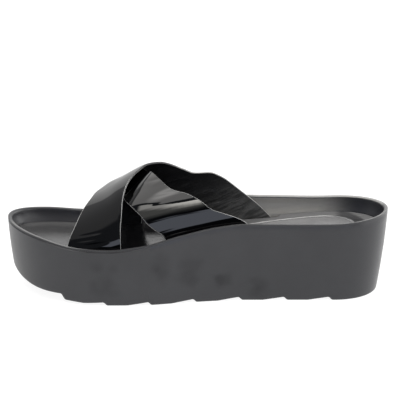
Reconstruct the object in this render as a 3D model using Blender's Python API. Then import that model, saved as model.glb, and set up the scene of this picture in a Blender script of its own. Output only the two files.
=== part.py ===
"""Crossed-strap platform slide for the left foot.

A moulded wedge sole with a cupped rim, an insole laid in the cup, a sock patch on the heel of the insole,
and an upper of two crossed straps whose ends are tucked between the insole and the rim.
Metres, +Z up. The toe points to -X, the outer side of the foot is -Y, and the floor is z = 0.
Places along the shoe are distances from the toe tip.
"""

import math
from collections import namedtuple

import bmesh
import bpy
import numpy as np

# Sole, outside
LENGTH = 0.262
TOE_ROUND = 0.070  # length of the toe's half ellipse
HEEL_ROUND = 0.038  # length of the heel's half ellipse
TOE_SWING = 0.010  # how far the toe tip lies towards the big toe
BALL_WIDTH = 0.096
SIDE_TAPER = 0.0036  # how much further in the side wall stands at the floor than at the rim
TOE_TAPER = 0.0026  # the same at the toe tip
HEEL_TAPER = 0.0058  # the same at the back of the heel
SIDE_SWELL = 0.38  # share of the taper that is left halfway up, less than half for a swollen wall
FLOOR_BEVEL = 0.0012  # where the side wall meets the tread

# Rim and cup
LIP_ROUND = 0.0009
LIP_WIDTH = 0.0028
WALL_LEAN = 0.26  # run per depth of the cup's inner wall
GAP = 0.0003  # between pieces that touch

# Tread
TOE_SPRING = 0.0155  # height of the sole's underside at the toe tip
TOE_CURL = 3.2  # exponent of the underside's rise to the toe tip
LUG_FIRST = 0.039  # front of the first lug
LUG_FIRST_STEP = 0.0064  # height of the underside in front of the first lug
LUG_FIRST_LIFT = 0.0022  # how far the first lug's front, sprung with the toe, stands off the floor
LUG_PITCH = 0.0302
LUG_COUNT = 7
LUG_FLAT = 0.014  # the part of a lug that stands on the floor
LUG_RELIEF = 0.0022  # how far a lug rises before the next one
LUG_FRONT = 0.0020  # run of a lug's steep front face
LUG_BOW = 0.006  # how far the lugs bow towards the heel in the middle

# Insole and heel sock
INSOLE_THICKNESS = 0.004
INSOLE_UPTURN = 0.0012  # rise of the insole at the rim's wall
INSOLE_UPTURN_RUN = 0.006
NOTCH_ROOM = 0.0016  # spare length of the insole's notch at each side of a strap
NOTCH_LEAN = 0.0002  # spare depth of the notch, as the strap leans inwards
SOCK_THICKNESS = 0.0008
SOCK_FRONT = 0.150
SOCK_WIDEST = 0.220
SOCK_REAR = 0.2405
SOCK_HALF_WIDTH = 0.0225
SOCK_TONGUE = 1.5  # exponent of the narrowing towards the front, 2 being an ellipse

# Upper
STRAP_THICKNESS = 0.0018
STRAP_BITE = 0.0004  # how deep the over strap sinks into the under strap where they are joined
STRAP_LIFT_RUN = 0.012  # over which the over strap comes back down beside the under strap
LAST_SQUARENESS = 2.25  # exponent of the last's cross-section, 2 being an ellipse
INSTEP_LEAN = 0.003  # how far the last's ridge lies towards the inner side

# Facets
TOE_STEPS = 13
MIDDLE_STEPS = 14
HEEL_STEPS = 11
ROW_CLEARANCE = 0.0012  # an even row this close to a row that is needed is left out
TREAD_COLUMNS = (-0.6, -0.2, 0.2, 0.6)
SEAT_COLUMNS = (-0.95, -0.86, -0.5, 0, 0.5, 0.86, 0.95)
SOCK_COLUMNS = (-0.6, 0, 0.6)
SOCK_STEPS = 21
STRAP_STEPS = 48
STRAP_STRIPS = 7
SHARP_ANGLE = 35  # degrees between facets that are shaded as an edge
SLOPE_STEP = 0.0005  # over which slopes are measured, along in metres and over the last in radians

# Cross-sections of the shoe, from the toe tip to the heel.
# along: share of the length. lateral, medial: half widths at the rim, before the ends are rounded.
# rim: height of the rim. arch: how much higher the rim is on the inner side.
# seat: height of the insole along its middle. crest: height of the last's ridge.
Section = namedtuple("Section", "along lateral medial rim arch seat crest")
SECTIONS = (
    Section(0.000, 0.0470, 0.0475, 0.0481, 0.0000, 0.0372, 0.0460),
    Section(0.095, 0.0472, 0.0478, 0.0449, 0.0000, 0.0339, 0.0492),
    Section(0.198, 0.0476, 0.0480, 0.0407, 0.0005, 0.0308, 0.0578),
    Section(0.275, 0.0479, 0.0479, 0.0398, 0.0007, 0.0302, 0.0670),
    Section(0.363, 0.0473, 0.0455, 0.0423, 0.0007, 0.0320, 0.0809),
    Section(0.466, 0.0424, 0.0380, 0.0486, 0.0008, 0.0362, 0.0902),
    Section(0.557, 0.0385, 0.0330, 0.0531, 0.0013, 0.0383, 0.0947),
    Section(0.630, 0.0368, 0.0310, 0.0546, 0.0016, 0.0396, 0.0967),
    Section(0.809, 0.0367, 0.0340, 0.0543, 0.0004, 0.0422, 0.0970),
    Section(1.000, 0.0369, 0.0343, 0.0568, 0.0000, 0.0444, 0.0970),
)


def hermite(x, y, at):
    """Smooth curve through the points (x, y) that doesn't overshoot them, read at one place or many."""
    rise = np.diff(y) / np.diff(x)
    slope = np.zeros(len(x))
    slope[0], slope[-1] = rise[0], rise[-1]
    for i in range(1, len(x) - 1):
        if rise[i - 1] * rise[i] > 0:
            slope[i] = 2 * rise[i - 1] * rise[i] / (rise[i - 1] + rise[i])
    at = np.clip(np.asarray(at, float), x[0], x[-1])
    k = np.clip(np.searchsorted(x, at) - 1, 0, len(x) - 2)
    h = x[k + 1] - x[k]
    u = (at - x[k]) / h
    return (
        (1 + 2 * u) * (1 - u) ** 2 * y[k]
        + u * (1 - u) ** 2 * h * slope[k]
        + u * u * (3 - 2 * u) * y[k + 1]
        + u * u * (u - 1) * h * slope[k + 1]
    )


def section(column, t):
    """A column of SECTIONS at a distance t from the toe tip."""
    along = np.array([row.along for row in SECTIONS])
    values = np.array([getattr(row, column) for row in SECTIONS])
    return hermite(along * LENGTH, values, t)


def outline(t):
    """(lateral y, medial y) of the rim's outer edge."""
    toe = np.clip(1 - t / TOE_ROUND, 0, 1)
    heel = np.clip(1 - (LENGTH - t) / HEEL_ROUND, 0, 1)
    rounding = np.sqrt(1 - toe**2) * np.sqrt(1 - heel**2)
    middle = TOE_SWING * toe**3
    return middle - section("lateral", t) * rounding, middle + section("medial", t) * rounding


def outline_slope(t):
    """Slopes of the rim's outer edge, at the outer side and at the inner side."""
    before, after = outline(t - SLOPE_STEP), outline(t + SLOPE_STEP)
    return (after[0] - before[0]) / (2 * SLOPE_STEP), (after[1] - before[1]) / (2 * SLOPE_STEP)


def taper(t):
    """How much further in the side wall stands at the floor than at the rim."""
    toe = np.clip(1 - t / TOE_ROUND, 0, 1)
    heel = np.clip(1 - (LENGTH - t) / HEEL_ROUND, 0, 1)
    return SIDE_TAPER + (TOE_TAPER - SIDE_TAPER) * toe**2 + (HEEL_TAPER - SIDE_TAPER) * heel**2


def insole_edge(t):
    """Height of the insole's top edge, where it meets the rim's wall."""
    return section("seat", t) + INSOLE_UPTURN


def cup_inset(t):
    """How far inside the rim's outer edge the cup's wall stands at the insole."""
    return LIP_WIDTH + WALL_LEAN * (section("rim", t) - insole_edge(t))


def strap_end(t):
    """Height of the straps' lower ends, just clear of the cup's floor."""
    return insole_edge(t) - INSOLE_THICKNESS


def last_point(t, turn):
    """A point of the last, which the straps' inner faces follow.

    The turn goes over the foot, from 0 at the outer side to pi at the inner side.
    """
    inset = cup_inset(t) + GAP + STRAP_THICKNESS
    lateral_slope, medial_slope = outline_slope(t)
    lateral, medial = outline(t)
    lateral = lateral + inset * np.hypot(1, lateral_slope)
    medial = medial - inset * np.hypot(1, medial_slope)
    power = 2 / LAST_SQUARENESS
    across = np.sign(np.cos(turn)) * np.abs(np.cos(turn)) ** power
    up = np.abs(np.sin(turn)) ** power
    y = (lateral + medial) / 2 - (medial - lateral) / 2 * across + INSTEP_LEAN * up**2
    z = strap_end(t) + (section("crest", t) - strap_end(t)) * up
    return np.stack(np.broadcast_arrays(t - LENGTH / 2, y, z), -1)


def last_normal(t, turn):
    """Outward normal of the last."""
    along = last_point(t + SLOPE_STEP, turn) - last_point(t - SLOPE_STEP, turn)
    ahead, behind = np.minimum(turn + SLOPE_STEP, math.pi), np.maximum(turn - SLOPE_STEP, 0)
    normal = np.cross(along, last_point(t, ahead) - last_point(t, behind))
    return normal / np.linalg.norm(normal, axis=-1, keepdims=True)


# Ribs of each strap, from its end at the outer side to its end at the inner side.
# front, rear: places of the strap's two edges. front_turn, rear_turn: their turns over the last, in degrees.
Rib = namedtuple("Rib", "front front_turn rear rear_turn")
OVER_STRAP = (
    Rib(0.0435, 0, 0.0810, 0),
    Rib(0.0460, 25, 0.0810, 25),
    Rib(0.0500, 45, 0.0820, 40.5),
    Rib(0.0540, 65.5, 0.0838, 58),
    Rib(0.0590, 83, 0.0875, 76.5),
    Rib(0.0630, 96, 0.0955, 91),
    Rib(0.0700, 108, 0.1045, 106),
    Rib(0.0780, 123, 0.1110, 119),
    Rib(0.0850, 137, 0.1210, 132.5),
    Rib(0.0915, 148, 0.1300, 139.5),
    Rib(0.0970, 156, 0.1400, 140.5),
    Rib(0.1020, 163, 0.1475, 145),
    Rib(0.1070, 169, 0.1615, 158),
    Rib(0.1105, 174.5, 0.1725, 167.5),
    Rib(0.1130, 180, 0.1860, 180),
)
UNDER_STRAP = (
    Rib(0.1140, 0, 0.1800, 0),
    Rib(0.1088, 13.5, 0.1610, 15.7),
    Rib(0.1030, 19.5, 0.1490, 21),
    Rib(0.0980, 26, 0.1410, 25),
    Rib(0.0940, 33.5, 0.1330, 33),
    Rib(0.0895, 41.5, 0.1250, 40),
    Rib(0.0855, 50, 0.1140, 48),
    Rib(0.0820, 60, 0.1070, 61),
    Rib(0.0780, 80, 0.1000, 80),
    Rib(0.0740, 105, 0.0945, 102),
    Rib(0.0660, 130, 0.0935, 130),
    Rib(0.0570, 155, 0.0920, 155),
    Rib(0.0500, 180, 0.0910, 180),
)


def clear_scene():
    for obj in list(bpy.data.objects):
        bpy.data.objects.remove(obj, do_unlink=True)


def paint(name, colour, roughness, coat=0.0):
    """A Principled material of a piece's colour and gloss."""
    material = bpy.data.materials.new(name)
    material.use_nodes = True
    shader = material.node_tree.nodes["Principled BSDF"]
    shader.inputs["Base Color"].default_value = (*colour, 1)
    shader.inputs["Roughness"].default_value = roughness
    shader.inputs["Metallic"].default_value = 0
    shader.inputs["Coat Weight"].default_value = coat
    return material


def finish_piece(name, work, material):
    """Turns a bmesh into a named object with its material, shaded round where its facets nearly line up."""
    mesh = bpy.data.meshes.new(name)
    work.to_mesh(mesh)
    work.free()
    mesh.materials.append(material)
    mesh.shade_smooth()
    mesh.set_sharp_from_angle(angle=math.radians(SHARP_ANGLE))
    piece = bpy.data.objects.new(name, mesh)
    bpy.context.scene.collection.objects.link(piece)
    return piece


def stations(breaks):
    """Places of the cross rows: close together round the ends, and with a row at each break."""
    toe = TOE_ROUND * (1 - np.cos(np.linspace(0, math.pi / 2, TOE_STEPS)))
    heel = LENGTH - HEEL_ROUND * (1 - np.cos(np.linspace(math.pi / 2, 0, HEEL_STEPS)))
    middle = np.linspace(toe[-1], heel[0], MIDDLE_STEPS)[1:-1]
    even = np.concatenate([toe, middle, heel])
    kept = [t for t in even if all(abs(t - place) > ROW_CLEARANCE for place in breaks)]
    return np.sort(np.concatenate([kept, breaks]))


def round_trip(t):
    """The rows' places in the order of a loop: toe tip, outer side, heel tip, inner side."""
    return np.concatenate([t, t[-2:0:-1]])


def loop(t, inset, height):
    """A closed loop of points round the sole, this far inside the rim's outer edge."""
    lateral, medial = outline(t)
    x = round_trip(t) - LENGTH / 2
    y = np.concatenate([lateral, medial[-2:0:-1]])
    run_x = np.roll(x, -1) - np.roll(x, 1)
    run_y = np.roll(y, -1) - np.roll(y, 1)
    length = np.hypot(run_x, run_y)
    return np.stack([x - inset * run_y / length, y + inset * run_x / length, height], -1)


def cup_loop(t, inset, drop):
    """A loop inside the cup's wall, below the insole's top edge by a drop."""
    around = round_trip(t)
    return loop(t, cup_inset(around) + inset, insole_edge(around) - drop)


def rim_height(t):
    """Heights of the rim round a loop. The rim is a little higher on the inner side, most along the arch."""
    around = round_trip(t)
    inner_side = np.arange(len(around)) >= len(t)
    return section("rim", around) + np.where(inner_side, section("arch", around), 0)


def add_loop(work, points):
    return [work.verts.new(point) for point in points]


def skin(work, lower, upper):
    """Faces between two loops of vertices, the lower loop's outer side facing out."""
    for i in range(len(lower)):
        j = (i + 1) % len(lower)
        work.faces.new((lower[i], lower[j], upper[j], upper[i]))


def close_across(work, edge, columns, place, facing_up):
    """Closes a loop of vertices with rows of faces from its outer side to its inner side.

    place(start, end, across) gives a row's inner point, across going from -1 at its start to 1 at its end.
    """
    half = len(edge) // 2
    rows = [[edge[0]] * (len(columns) + 2)]
    for i in range(1, half):
        start, end = edge[i], edge[-i]
        inner = [work.verts.new(place(start.co, end.co, across)) for across in columns]
        rows.append([start, *inner, end])
    rows.append([edge[half]] * (len(columns) + 2))
    for row, following in zip(rows, rows[1:]):
        for k in range(len(row) - 1):
            corners = [row[k], following[k], following[k + 1], row[k + 1]]
            corners = list(dict.fromkeys(corners if facing_up else corners[::-1]))
            work.faces.new(corners)


def seat_height(x, y, edge):
    """Height of the insole's top, which turns up near its edge, a loop of points."""
    start = edge[:, :2]
    run = np.roll(start, -1, 0) - start
    offset = np.array([x, y]) - start
    share = np.clip((offset * run).sum(1) / (run * run).sum(1), 0, 1)
    nearest = np.linalg.norm(offset - share[:, None] * run, axis=1).min()
    upturn = INSOLE_UPTURN * np.clip(1 - nearest / INSOLE_UPTURN_RUN, 0, 1) ** 2
    return float(section("seat", x + LENGTH / 2) + upturn)


def seat_point(edge, drop):
    """A place function for close_across on the insole's top, or below it by a drop."""

    def place(start, end, across):
        x, y, _ = start.lerp(end, (across + 1) / 2)
        return x, y, seat_height(x, y, edge) - drop

    return place


def lug_fronts():
    return [LUG_FIRST + k * LUG_PITCH for k in range(LUG_COUNT)]


def tread_height(t):
    """Height of the sole's underside: a sprung toe, then lugs with a steep front and a long slope behind.

    The first lug is sprung with the toe, and the others stand on the floor.
    """
    sprung = np.clip(1 - t / LUG_FIRST, 0, 1)
    toe = LUG_FIRST_STEP + (TOE_SPRING - LUG_FIRST_STEP) * sprung**TOE_CURL
    bends, heights = [], []
    for front in lug_fronts():
        bends += [front, front + LUG_FRONT, front + LUG_FRONT + LUG_FLAT]
        heights += [LUG_RELIEF, 0, 0]
    heights[:3] = [LUG_FIRST_STEP, LUG_FIRST_LIFT, LUG_FIRST_LIFT / 2]
    return np.where(t < LUG_FIRST, toe, np.interp(t, bends, heights))


def tread_point(start, end, across):
    """A place function for close_across on the tread, whose lugs bow towards the heel."""
    x, y, z = start.lerp(end, (across + 1) / 2)
    width_share = (end.y - start.y) / BALL_WIDTH
    return x + LUG_BOW * width_share**2 * (1 - across**2), y, z


def build_sole():
    """One moulded unit: tread, tapered side wall, rounded lip, and a cup for the insole."""
    breaks = [bend for front in lug_fronts() for bend in (front, front + LUG_FRONT)]
    breaks += [front + LUG_FRONT + LUG_FLAT for front in lug_fronts()[:-1]]
    t = stations(breaks)
    around = round_trip(t)
    tread = tread_height(around)
    rim = rim_height(t)
    work = bmesh.new()
    loops = [
        add_loop(work, points)
        for points in (
            loop(t, taper(around) + FLOOR_BEVEL, tread),
            loop(t, taper(around), tread + FLOOR_BEVEL),
            loop(t, taper(around) * SIDE_SWELL, (tread + rim) / 2),
            loop(t, 0, rim - LIP_ROUND),
            loop(t, LIP_ROUND, rim),
            loop(t, LIP_WIDTH - LIP_ROUND, rim),
            loop(t, LIP_WIDTH, rim - LIP_ROUND),
            cup_loop(t, 0, 0),
            cup_loop(t, 0, INSOLE_THICKNESS + GAP),
        )
    ]
    for lower, upper in zip(loops, loops[1:]):
        skin(work, lower, upper)
    edge = cup_loop(t, GAP, 0)
    close_across(work, loops[0], TREAD_COLUMNS, tread_point, facing_up=False)
    close_across(work, loops[-1], SEAT_COLUMNS, seat_point(edge, INSOLE_THICKNESS + GAP), facing_up=True)
    return finish_piece("sole", work, paint("moulded_sole", (0.035, 0.036, 0.040), 0.5))


def row_above(place, side):
    """The row whose point on the strap, well inside the rim, lies at a place along the shoe."""
    slope = outline_slope(place)[side]
    inwards = (-1, 1)[side] * slope / np.hypot(1, slope)
    return place - (cup_inset(place) + STRAP_THICKNESS) * inwards


def notches():
    """(side, first row, last row) of the insole's notches, where the straps' ends pass it."""
    found = []
    for side, end in ((0, 0), (1, -1)):
        for ribs in (OVER_STRAP, UNDER_STRAP):
            first = row_above(ribs[end].front, side) - NOTCH_ROOM
            found.append((side, first, row_above(ribs[end].rear, side) + NOTCH_ROOM))
    return found


def build_insole():
    """Footbed sheet in the cup, its edge turned up along the wall and notched where the strap ends pass."""
    corners = []
    for _, first, last in notches():
        corners += [first - NOTCH_ROOM, first, last, last + NOTCH_ROOM]
    t = stations(corners)
    around = round_trip(t)
    on_side = (np.arange(len(around)) >= len(t)).astype(int)
    depths = np.zeros(len(around))
    for side, first, last in notches():
        inside = (on_side == side) & (around > first - NOTCH_ROOM / 2) & (around < last + NOTCH_ROOM / 2)
        depths[inside] = STRAP_THICKNESS + NOTCH_LEAN + GAP
    work = bmesh.new()
    lower = add_loop(work, cup_loop(t, GAP + depths, INSOLE_THICKNESS))
    upper = add_loop(work, cup_loop(t, GAP + depths, 0))
    skin(work, lower, upper)
    edge = cup_loop(t, GAP, 0)
    close_across(work, lower, SEAT_COLUMNS, seat_point(edge, INSOLE_THICKNESS), facing_up=False)
    close_across(work, upper, SEAT_COLUMNS, seat_point(edge, 0), facing_up=True)
    return finish_piece("insole", work, paint("footbed", (0.060, 0.060, 0.062), 0.6))


def sock_half_width(t):
    """Half width of the heel sock: a tongue that narrows forwards from its rounded rear."""
    forward = np.clip((SOCK_WIDEST - t) / (SOCK_WIDEST - SOCK_FRONT), 0, 1)
    back = np.clip((t - SOCK_WIDEST) / (SOCK_REAR - SOCK_WIDEST), 0, 1)
    return SOCK_HALF_WIDTH * np.sqrt((1 - forward**SOCK_TONGUE) * (1 - back**2))


def build_heel_sock():
    """Thin sock patch stuck on the insole's heel."""
    edge = cup_loop(stations([]), GAP, 0)
    swing = np.linspace(0, math.pi, SOCK_STEPS)
    t = (SOCK_FRONT + SOCK_REAR - (SOCK_REAR - SOCK_FRONT) * np.cos(swing)) / 2
    around = round_trip(t)
    side = np.where(np.arange(len(around)) < len(t), -1, 1)
    x = around - LENGTH / 2
    y = sum(outline(around)) / 2 + side * sock_half_width(around)
    work = bmesh.new()
    loops = []
    for lift in (GAP, GAP + SOCK_THICKNESS):
        z = [seat_height(*point, edge) + lift for point in zip(x, y)]
        loops.append(add_loop(work, np.stack([x, y, z], -1)))
    skin(work, *loops)
    close_across(work, loops[0], SOCK_COLUMNS, seat_point(edge, -GAP), facing_up=False)
    close_across(work, loops[1], SOCK_COLUMNS, seat_point(edge, -GAP - SOCK_THICKNESS), facing_up=True)
    return finish_piece("heel_sock", work, paint("sock_patch", (0.110, 0.110, 0.112), 0.45))


def rib_column(ribs, column, row):
    return hermite(np.arange(len(ribs)), np.array([getattr(rib, column) for rib in ribs]), row)


def strap_place(ribs, row, share):
    """(place along the shoe, turn over the last) at a share of the way from a rib's front to its rear."""
    front, rear = rib_column(ribs, "front", row), rib_column(ribs, "rear", row)
    front_turn, rear_turn = rib_column(ribs, "front_turn", row), rib_column(ribs, "rear_turn", row)
    return front + (rear - front) * share, np.radians(front_turn + (rear_turn - front_turn) * share)


def lift_over(t, turn):
    """How far the over strap stands off the last: it lies on the under strap, and comes down beside it."""
    degrees = np.degrees(turn)
    front = hermite(*np.array([(rib.front_turn, rib.front) for rib in UNDER_STRAP]).T, degrees)
    rear = hermite(*np.array([(rib.rear_turn, rib.rear) for rib in UNDER_STRAP]).T, degrees)
    beside = max(front - t, t - rear, 0)
    share = max(1 - beside / STRAP_LIFT_RUN, 0)
    return (STRAP_THICKNESS - STRAP_BITE) * share**2 * (3 - 2 * share)


def build_strap(name, ribs, lift, material):
    """A strap's inner face on the last, given its thickness outwards."""
    work = bmesh.new()
    bmesh.ops.create_grid(work, x_segments=STRAP_STRIPS, y_segments=STRAP_STEPS, size=0.5)
    for vert in work.verts:
        t, turn = strap_place(ribs, (vert.co.y + 0.5) * (len(ribs) - 1), vert.co.x + 0.5)
        vert.co = last_point(t, turn) + lift(t, turn) * last_normal(t, turn)
    strap = finish_piece(name, work, material)
    wall = strap.modifiers.new("wall", "SOLIDIFY")
    wall.thickness = STRAP_THICKNESS
    wall.offset = 1
    wall.use_even_offset = True
    return strap


def build_upper():
    """Two straps joined where they cross, as one piece."""
    patent = paint("patent", (0.006, 0.006, 0.007), 0.08, coat=1.0)
    under = build_strap("under_strap", UNDER_STRAP, lambda t, turn: 0.0, patent)
    under.hide_render = True
    under.display_type = "WIRE"
    upper = build_strap("upper", OVER_STRAP, lift_over, patent)
    joined = upper.modifiers.new("joined", "BOOLEAN")
    joined.operation = "UNION"
    joined.solver = "EXACT"
    joined.object = under
    return upper


def main():
    clear_scene()
    build_sole()
    build_insole()
    build_heel_sock()
    build_upper()


if __name__ == "__main__":
    main()
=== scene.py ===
"""Looks of a crossed-strap platform slide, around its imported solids.

Metres, in the part's own frame: the toe points to -X, the outer side of the foot is -Y, and the floor is at
z = 0. Places along the shoe are distances from the toe tip.
"""

import math
from collections import namedtuple

import bmesh
import bpy
import numpy as np
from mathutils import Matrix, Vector, noise


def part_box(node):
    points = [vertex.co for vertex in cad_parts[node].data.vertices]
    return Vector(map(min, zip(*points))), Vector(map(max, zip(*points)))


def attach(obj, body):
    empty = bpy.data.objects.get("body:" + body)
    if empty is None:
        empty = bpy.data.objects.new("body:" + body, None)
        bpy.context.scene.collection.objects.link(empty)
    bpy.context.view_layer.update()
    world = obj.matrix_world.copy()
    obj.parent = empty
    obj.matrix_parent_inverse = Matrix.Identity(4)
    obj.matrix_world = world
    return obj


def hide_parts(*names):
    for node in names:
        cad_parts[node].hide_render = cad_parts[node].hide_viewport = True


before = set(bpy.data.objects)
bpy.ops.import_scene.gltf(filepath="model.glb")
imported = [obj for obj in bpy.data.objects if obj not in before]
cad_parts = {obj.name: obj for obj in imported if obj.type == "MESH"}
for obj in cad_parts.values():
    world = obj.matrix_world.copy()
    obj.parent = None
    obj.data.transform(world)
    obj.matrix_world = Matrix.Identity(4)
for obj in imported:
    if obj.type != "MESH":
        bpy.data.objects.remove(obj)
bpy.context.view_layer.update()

# Sole
# One moulded unit of satin black foam. Its side wall swells a little and tapers to the floor, a rounded lip
# runs round the cup that takes the footbed, and saw-tooth lugs with fine ribs stand underneath.

TOE_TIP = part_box("sole")[0].x
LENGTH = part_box("sole")[1].x - TOE_TIP
TOE_ROUND = 0.070  # length of the toe's half ellipse
HEEL_ROUND = 0.038  # length of the heel's half ellipse
TOE_SWING = 0.010  # how far the toe tip lies towards the big toe
BALL_WIDTH = 0.096
SIDE_TAPER = 0.0036  # of the side wall, from the rim in to the floor
TOE_TAPER = 0.0026
HEEL_TAPER = 0.0058
SIDE_SWELL = 0.48  # how much the wall stands outside a straight taper
FLOOR_BEVEL = 0.0012
LIP_OUTER_ROUND = 0.0004
LIP_INNER_ROUND = 0.0016
LIP_WIDTH = 0.0028
LIP_LINE_DROP = 0.0011  # middle of a fine line under the lip, where the mould's halves meet
LIP_LINE_DEPTH = 0.0005  # at the toe
LIP_LINE_HEEL_DEPTH = 0.0002
LIP_LINE_FLOOR = 0.0003  # half the height of the line's floor
LIP_LINE_TOP = 0.0006  # upper edge of the line, above its middle
LIP_LINE_FOOT = 0.0008  # lower edge of the line, below its middle
WALL_LEAN = 0.26  # run per depth of the cup's inner wall
WALL_HOLLOW = 1.8  # exponent of the inner wall's run, over 1 for a hollow wall
CUP_DEPTH = 0.0043  # of the cup's floor below the footbed's edge
FOOTBED_EDGE_RISE = 0.0012  # of the footbed's edge above its middle
TOE_SPRING = 0.0155
TOE_CURL = 3.2
SPRING_RUN = 0.04  # over which the toe's spring runs out in the side wall
LUG_FIRST = 0.039
LUG_FIRST_STEP = 0.0064
LUG_FIRST_LIFT = 0.0022  # the first lug is sprung with the toe
LUG_PITCH = 0.0302
LUG_COUNT = 7
LUG_FLAT = 0.014
LUG_RELIEF = 0.0022
LUG_FRONT = 0.0020
LUG_BOW = 0.006
LUG_SOFTNESS = 0.0006  # rounding of the lugs' edges
RIB_PITCH = 0.0028  # fine ribs on the lugs' flats
RIB_DEPTH = 0.0006
RIB_EDGE = 0.86  # share of the half width where the ribs end
RIB_STEEPNESS = 3.0  # of the grooves' sides
RIB_CREST = 1.6  # over 1 for ribs broader than the grooves
SHARP_ANGLE = 40
SOLE_STEPS = (44, 90, 30)  # cross rows at the toe, in the middle and at the heel
ROW_CLEARANCE = 0.0003  # least distance of a row from the rows at the lugs
LUG_EDGE_STEP = 0.0007  # between the rows at a lug's edges
RIB_STEPS = 8
TREAD_SHARES = (0, 0.2, 0.4, 0.6, 0.74, RIB_EDGE, 0.90, 0.96, 1)  # of the half width
SIDE_STEPS = 13
CUP_WALL_STEPS = 8

# Cross-sections, from the toe tip to the heel.
# along: share of the length. lateral, medial: half widths at the rim, before the ends are rounded.
# rim: height of the rim. arch: how much higher the rim is on the inner side.
# seat: height of the footbed along its middle. crest: height of the last's ridge.
Section = namedtuple("Section", "along lateral medial rim arch seat crest")
SECTIONS = (
    Section(0.000, 0.0470, 0.0475, 0.0481, 0.0000, 0.0372, 0.0460),
    Section(0.095, 0.0472, 0.0478, 0.0449, 0.0000, 0.0339, 0.0492),
    Section(0.198, 0.0476, 0.0480, 0.0407, 0.0005, 0.0308, 0.0578),
    Section(0.275, 0.0479, 0.0479, 0.0398, 0.0007, 0.0302, 0.0670),
    Section(0.363, 0.0473, 0.0455, 0.0423, 0.0007, 0.0320, 0.0809),
    Section(0.466, 0.0424, 0.0380, 0.0486, 0.0008, 0.0362, 0.0902),
    Section(0.557, 0.0385, 0.0330, 0.0531, 0.0013, 0.0383, 0.0947),
    Section(0.630, 0.0368, 0.0310, 0.0546, 0.0016, 0.0396, 0.0967),
    Section(0.809, 0.0367, 0.0340, 0.0543, 0.0004, 0.0422, 0.0970),
    Section(1.000, 0.0369, 0.0343, 0.0568, 0.0000, 0.0444, 0.0970),
)


def flowing(x, y, at):
    """Smooth curve through the points (x, y) that doesn't overshoot them, read at one place or many."""
    rise = np.diff(y) / np.diff(x)
    slope = np.zeros(len(x))
    slope[0], slope[-1] = rise[0], rise[-1]
    for i in range(1, len(x) - 1):
        if rise[i - 1] * rise[i] > 0:
            slope[i] = 2 * rise[i - 1] * rise[i] / (rise[i - 1] + rise[i])
    at = np.clip(np.asarray(at, float), x[0], x[-1])
    k = np.clip(np.searchsorted(x, at) - 1, 0, len(x) - 2)
    h = x[k + 1] - x[k]
    u = (at - x[k]) / h
    return (
        (1 + 2 * u) * (1 - u) ** 2 * y[k]
        + u * (1 - u) ** 2 * h * slope[k]
        + u * u * (3 - 2 * u) * y[k + 1]
        + u * u * (u - 1) * h * slope[k + 1]
    )


def section(column, t):
    """A column of SECTIONS at a distance t from the toe tip."""
    along = np.array([row.along for row in SECTIONS])
    values = np.array([getattr(row, column) for row in SECTIONS])
    return flowing(along * LENGTH, values, t)


def end_shares(t):
    """How far into the toe's and the heel's rounding a place is, from 0 where it starts to 1 at the tip."""
    return np.clip(1 - t / TOE_ROUND, 0, 1), np.clip(1 - (LENGTH - t) / HEEL_ROUND, 0, 1)


def outline(t):
    """(lateral y, medial y) of the rim's outer edge."""
    toe, heel = end_shares(t)
    rounding = np.sqrt(1 - toe**2) * np.sqrt(1 - heel**2)
    middle = TOE_SWING * toe**3
    return middle - section("lateral", t) * rounding, middle + section("medial", t) * rounding


def taper(t):
    """How much further in the side wall stands at the floor than at the rim."""
    toe, heel = end_shares(t)
    return SIDE_TAPER + (TOE_TAPER - SIDE_TAPER) * toe**2 + (HEEL_TAPER - SIDE_TAPER) * heel**2


def stations(toe_steps, middle_steps, heel_steps, breaks=()):
    """Places of the cross rows: close together round the ends, and with a row at each break."""
    toe = TOE_ROUND * (1 - np.cos(np.linspace(0, math.pi / 2, toe_steps)))
    heel = LENGTH - HEEL_ROUND * (1 - np.cos(np.linspace(math.pi / 2, 0, heel_steps)))
    middle = np.linspace(toe[-1], heel[0], middle_steps)[1:-1]
    even = np.concatenate([toe, middle, heel])
    kept = [t for t in even if all(abs(t - place) > ROW_CLEARANCE for place in breaks)]
    return np.sort(np.concatenate([kept, breaks]))


def round_trip(t):
    """The rows' places in the order of a loop: toe tip, outer side, heel tip, inner side."""
    return np.concatenate([t, t[-2:0:-1]])


def on_inner_side(t):
    """True for each place of a round trip that is on the inner side."""
    return np.arange(len(round_trip(t))) >= len(t)


def inset_loop(x, y, inset, height):
    """A closed loop of points, moved inwards from the line (x, y) in plan."""
    run_x = np.roll(x, -1) - np.roll(x, 1)
    run_y = np.roll(y, -1) - np.roll(y, 1)
    length = np.hypot(run_x, run_y)
    height = np.broadcast_to(height, x.shape)
    return np.stack([x - inset * run_y / length, y + inset * run_x / length, height], -1)


def rim_loop(t, inset, height):
    """A closed loop round the sole, this far inside the rim's outer edge."""
    lateral, medial = outline(t)
    y = np.concatenate([lateral, medial[-2:0:-1]])
    return inset_loop(round_trip(t) + TOE_TIP, y, inset, height)


def drawn_in(loop, share):
    """A loop drawn in towards its own middle line: share 1 is the loop itself, 0 the line."""
    across = np.roll(loop[::-1], 1, 0)
    return (loop + across) / 2 + share * (loop - across) / 2


def footbed_edge(t):
    """Height of the footbed's top edge, where it meets the cup's wall."""
    return section("seat", t) + FOOTBED_EDGE_RISE


def cup_inset(t):
    """How far inside the rim's outer edge the cup's wall stands at the footbed."""
    return LIP_WIDTH + WALL_LEAN * (section("rim", t) - footbed_edge(t))


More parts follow.
